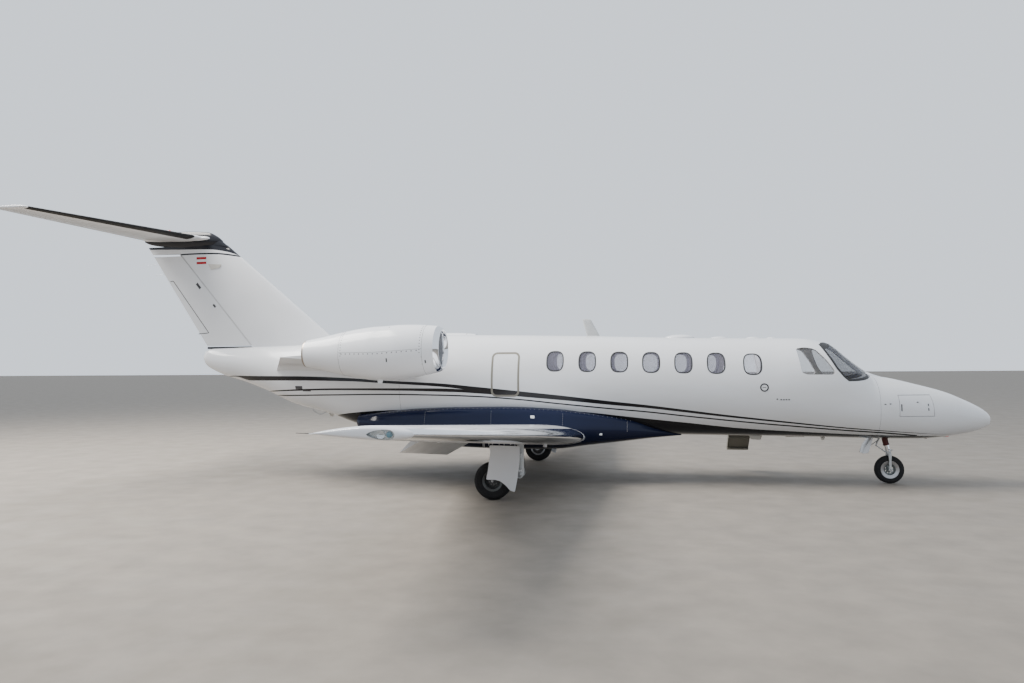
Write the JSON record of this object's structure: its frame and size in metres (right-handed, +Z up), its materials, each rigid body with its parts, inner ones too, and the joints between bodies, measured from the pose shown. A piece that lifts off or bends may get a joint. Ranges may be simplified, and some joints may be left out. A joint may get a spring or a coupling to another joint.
{
  "type": "business jet",
  "caption": "Light twin-engined business jet with a T-tail on its landing gear: hollow cabin, opening doors, moving control surfaces and flaps, turning fans and wheels.",
  "frame": {"origin": "on the ground under the middle of the box round the whole aircraft", "axes": "+X towards the nose, +Y to port, +Z up"},
  "size_m": [15.59, 16.26, 4.6163],
  "materials": {
    "white_paint": "gloss",
    "white_composite": "gloss",
    "navy_paint": "gloss",
    "chrome": "polished",
    "gear_metal": "satin",
    "engine_metal": "satin",
    "glass": "gloss",
    "tyre": "matte",
    "leather": "satin",
    "dark_plastic": "matte",
    "floor_panel": "matte"
  },
  "bodies": {
    "airframe": {"nose_radome": "white_composite", "nose_section": "white_paint", "cabin_shell": "white_paint", "tail_section": "white_paint", "tail_cone": "white_composite", "belly_fairing": "navy_paint", "cabin_floor": "floor_panel", "emergency_exit": "white_paint", "windshield_left": "glass", "windshield_right": "glass", "cockpit_window_left": "glass", "cockpit_window_right": "glass", "cabin_glazing_left": "glass", "cabin_glazing_right": "glass", "wing_left": "white_paint", "wing_right": "white_paint", "pylon_left": "white_composite", "pylon_right": "white_composite", "nacelle_left": "white_composite", "nacelle_right": "white_composite", "inlet_lip_left": "chrome", "inlet_lip_right": "chrome", "engine_core_left": "engine_metal", "engine_core_right": "engine_metal", "main_leg_left": "gear_metal", "main_leg_right": "gear_metal", "trailing_link_left": "gear_metal", "trailing_link_right": "gear_metal", "gear_door_left": "navy_paint", "gear_door_right": "navy_paint", "fin": "white_paint", "stabilizer": "white_paint", "nose_strut": "gear_metal", "nose_gear_door": "white_paint", "cabin_seats_left": "leather", "cabin_seats_right": "leather", "cockpit_seats": "leather", "instrument_panel": "dark_plastic", "airstair": "gear_metal"},
    "aileron_left": {"aileron_left": "white_paint"},
    "flap_left": {"flap_left": "white_paint"},
    "elevator_left": {"elevator_left": "white_paint"},
    "fan_left": {"fan_left": "engine_metal"},
    "nose_baggage_door_left": {"nose_baggage_door_left": "white_paint"},
    "aileron_right": {"aileron_right": "white_paint"},
    "flap_right": {"flap_right": "white_paint"},
    "elevator_right": {"elevator_right": "white_paint"},
    "fan_right": {"fan_right": "engine_metal"},
    "nose_baggage_door_right": {"nose_baggage_door_right": "white_paint"},
    "main_wheel_left": {"main_tyre_left": "tyre", "main_rim_left": "gear_metal"},
    "main_wheel_right": {"main_tyre_right": "tyre", "main_rim_right": "gear_metal"},
    "rudder": {"rudder": "white_paint"},
    "entry_door": {"entry_door": "white_paint"},
    "tail_baggage_door": {"tail_baggage_door": "white_paint"},
    "nose_fork": {"nose_fork": "gear_metal"},
    "nose_wheel": {"nose_tyre": "tyre", "nose_rim": "gear_metal"}
  },
  "joints": [
    {"name": "aileron_left_hinge", "type": "hinge", "parent": "airframe", "child": "aileron_left", "pos_m": [-0.19639, 4.95, 1.16159], "axis": [-0.0548, -0.9949, -0.0847], "range_deg": [-20, 20]},
    {"name": "flap_left_hinge", "type": "hinge", "parent": "airframe", "child": "flap_left", "pos_m": [-0.47566, 1.13, 0.74551], "axis": [-0.0611, -0.9938, -0.0932], "range_deg": [-35, 25]},
    {"name": "elevator_left_hinge", "type": "hinge", "parent": "airframe", "child": "elevator_left", "pos_m": [-6.8782, 0.175, 4.47101], "axis": [0.2255, -0.9742, -0.0056], "range_deg": [-20, 15]},
    {"name": "fan_left_spin", "type": "hinge", "parent": "airframe", "child": "fan_left", "pos_m": [-1.3, 1.45, 2.228], "axis": [1, 0, 0], "continuous": true},
    {"name": "main_wheel_left_spin", "type": "hinge", "parent": "airframe", "child": "main_wheel_left", "pos_m": [0.085, 2.45, 0.277], "axis": [0, 1, 0], "continuous": true},
    {"name": "nose_baggage_left_hinge", "type": "hinge", "parent": "airframe", "child": "nose_baggage_door_left", "pos_m": [6.23, 0.59104, 1.47], "axis": [0.944, -0.3298, 0], "range_deg": [0, 95]},
    {"name": "aileron_right_hinge", "type": "hinge", "parent": "airframe", "child": "aileron_right", "pos_m": [-0.05858, -7.45, 1.37444], "axis": [0.0548, -0.9949, 0.0847], "range_deg": [-20, 20]},
    {"name": "flap_right_hinge", "type": "hinge", "parent": "airframe", "child": "flap_right", "pos_m": [-0.24513, -4.88, 1.09715], "axis": [0.0611, -0.9938, 0.0932], "range_deg": [-35, 25]},
    {"name": "elevator_right_hinge", "type": "hinge", "parent": "airframe", "child": "elevator_right", "pos_m": [-7.52735, -2.98, 4.48725], "axis": [-0.2255, -0.9742, 0.0056], "range_deg": [-20, 15]},
    {"name": "fan_right_spin", "type": "hinge", "parent": "airframe", "child": "fan_right", "pos_m": [-1.3, -1.45, 2.228], "axis": [1, 0, 0], "continuous": true},
    {"name": "main_wheel_right_spin", "type": "hinge", "parent": "airframe", "child": "main_wheel_right", "pos_m": [0.085, -2.45, 0.277], "axis": [0, 1, 0], "continuous": true},
    {"name": "nose_baggage_right_hinge", "type": "hinge", "parent": "airframe", "child": "nose_baggage_door_right", "pos_m": [6.23, -0.59104, 1.47], "axis": [-0.944, -0.3298, 0], "range_deg": [0, 95]},
    {"name": "rudder_hinge", "type": "hinge", "parent": "airframe", "child": "rudder", "pos_m": [-5.05, 0, 2.36], "axis": [-0.6469, 0, 0.7626], "range_deg": [-25, 25]},
    {"name": "entry_door_hinge", "type": "hinge", "parent": "airframe", "child": "entry_door", "pos_m": [4.325, 0.838, 1.6], "axis": [0, 0, -1], "range_deg": [-172, 0]},
    {"name": "nose_steer", "type": "hinge", "parent": "airframe", "child": "nose_fork", "pos_m": [6.236, 0, 0.52], "axis": [-0.2278, 0, 0.9737], "range_deg": [-20, 20]},
    {"name": "nose_wheel_spin", "type": "hinge", "parent": "nose_fork", "child": "nose_wheel", "pos_m": [6.245, 0, 0.2285], "axis": [0, 1, 0], "continuous": true},
    {"name": "tail_baggage_hinge", "type": "hinge", "parent": "airframe", "child": "tail_baggage_door", "pos_m": [-3.33, 0.66302, 1.69], "axis": [0.9924, 0.1228, 0], "range_deg": [0, 80]}
  ],
  "couplings": [
    {"joint": "aileron_right_hinge", "follows": "aileron_left_hinge", "ratio": -1},
    {"joint": "flap_right_hinge", "follows": "flap_left_hinge", "ratio": 1},
    {"joint": "elevator_right_hinge", "follows": "elevator_left_hinge", "ratio": 1}
  ]
}
